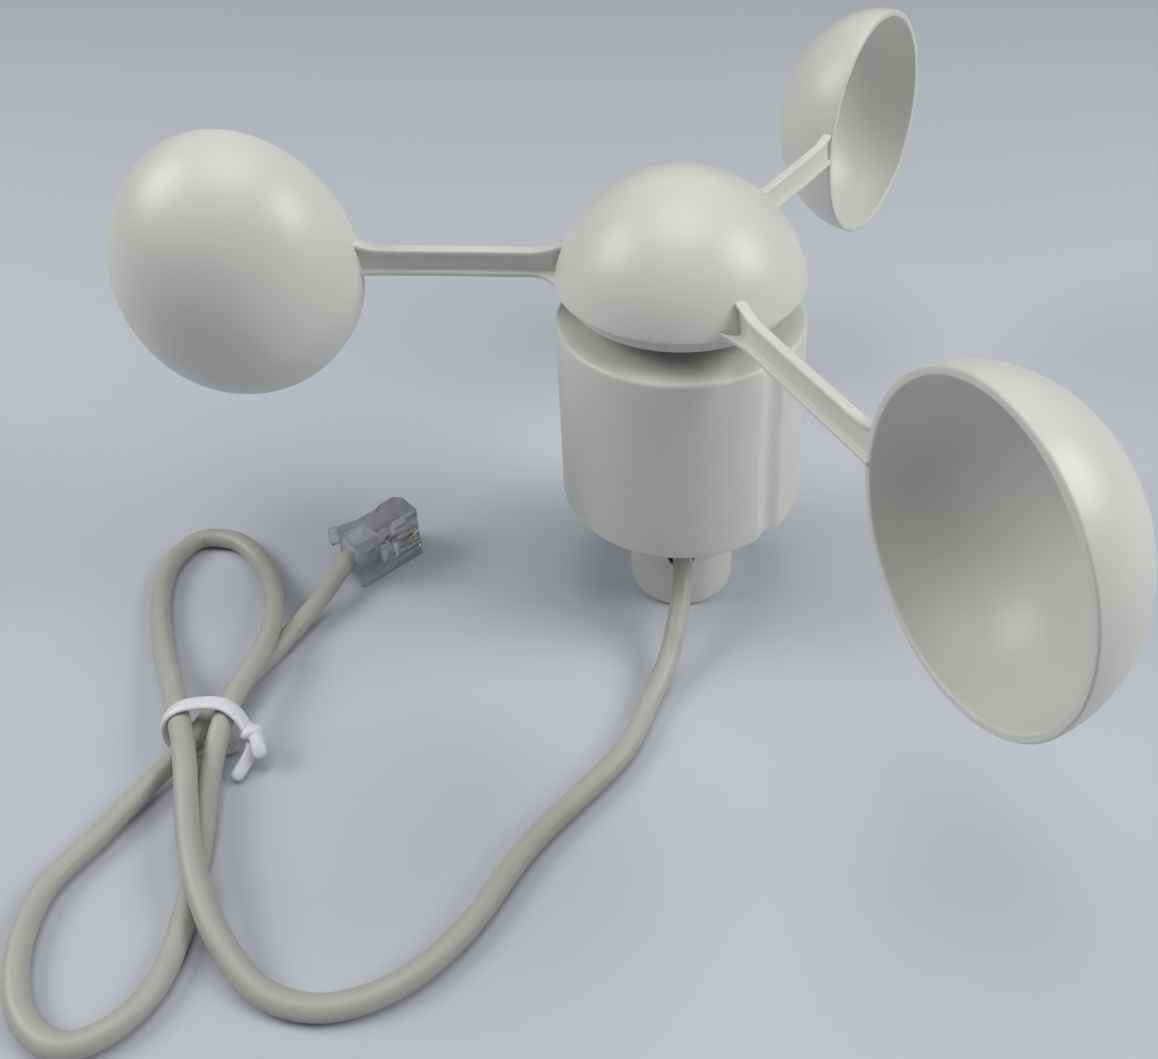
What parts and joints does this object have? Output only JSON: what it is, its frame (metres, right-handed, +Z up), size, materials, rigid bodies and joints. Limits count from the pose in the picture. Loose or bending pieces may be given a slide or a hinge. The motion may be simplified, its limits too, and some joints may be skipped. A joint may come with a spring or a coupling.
{
  "type": "cup anemometer",
  "caption": "Wind-speed sensor: a rotor with egg-shaped cups on I-section arms under a domed hub, a round housing with a mounting spigot, and a short cable to a clear modular plug.",
  "frame": {"origin": "centre of the spigot's closed end face, on the rotor's spin axis", "axes": "+Z up along the spin axis, away from the spigot; -Y is the side that the cable leaves from; +X completes the frame"},
  "size_m": [0.1351, 0.152, 0.0797],
  "materials": {
    "white_abs": "moulded, satin",
    "bright_steel": "ground and polished",
    "bearing_steel": "ground",
    "plated_steel": "nickel plated",
    "nylon": "moulded",
    "circuit_board": "solder mask",
    "reed_glass": "clear",
    "black_rubber": "matte",
    "cable_jacket": "extruded, satin",
    "white_insulation": "satin",
    "brown_insulation": "satin",
    "tie_coating": "smooth",
    "clear_plastic": "clear, polished",
    "gold_plate": "gold plated"
  },
  "bodies": {
    "stator": {"housing": "white_abs", "base_cap": "white_abs", "reed_lead_1": "bright_steel", "reed_lead_2": "bright_steel", "upper_bearing_outer_ring": "bearing_steel", "lower_bearing_outer_ring": "bearing_steel", "base_screw_1": "plated_steel", "base_screw_2": "plated_steel", "base_screw_3": "plated_steel", "board_screw_1": "plated_steel", "board_screw_2": "plated_steel", "outer_spacer": "nylon", "bearing_retainer": "nylon", "circuit_board": "circuit_board", "reed_switch": "reed_glass", "cable_grommet": "black_rubber", "inner_cable": "cable_jacket", "core_wire_1": "white_insulation", "core_wire_2": "brown_insulation", "signal_cable": "cable_jacket", "twist_tie": "tie_coating", "plug_body": "clear_plastic", "plug_contact_1": "gold_plate", "plug_contact_2": "gold_plate", "plug_contact_3": "gold_plate", "plug_contact_4": "gold_plate"},
    "rotor": {"hub_dome": "white_abs", "arm_1": "white_abs", "arm_2": "white_abs", "arm_3": "white_abs", "cup_1": "white_abs", "cup_2": "white_abs", "cup_3": "white_abs", "rotor_shaft": "bright_steel", "hub_washer": "bright_steel", "inner_spacer": "plated_steel", "magnet_carrier": "nylon", "magnet_1": "plated_steel", "magnet_2": "plated_steel", "shaft_clip": "plated_steel", "upper_bearing_inner_ring": "bearing_steel", "lower_bearing_inner_ring": "bearing_steel"},
    "upper_cage": {"upper_bearing_ball_cage": "bright_steel"},
    "lower_cage": {"lower_bearing_ball_cage": "bright_steel"},
    "latch": {"plug_latch": "clear_plastic"}
  },
  "joints": [
    {"name": "rotor_spin", "type": "hinge", "parent": "stator", "child": "rotor", "pos_m": [0, 0, 0.0522], "axis": [0, 0, 1], "continuous": true},
    {"name": "upper_cage_spin", "type": "hinge", "parent": "stator", "child": "upper_cage", "pos_m": [0, 0, 0.0579], "axis": [0, 0, 1], "continuous": true},
    {"name": "lower_cage_spin", "type": "hinge", "parent": "stator", "child": "lower_cage", "pos_m": [0, 0, 0.0464], "axis": [0, 0, 1], "continuous": true},
    {"name": "latch_press", "type": "hinge", "parent": "stator", "child": "latch", "pos_m": [-0.05023, 0.00852, 0.00483], "axis": [0, 0, 1], "range_deg": [0, 9], "stiffness_Nm_per_rad": 0.05}
  ],
  "couplings": [
    {"joint": "upper_cage_spin", "follows": "rotor_spin", "ratio": 0.385},
    {"joint": "lower_cage_spin", "follows": "rotor_spin", "ratio": 0.385}
  ]
}
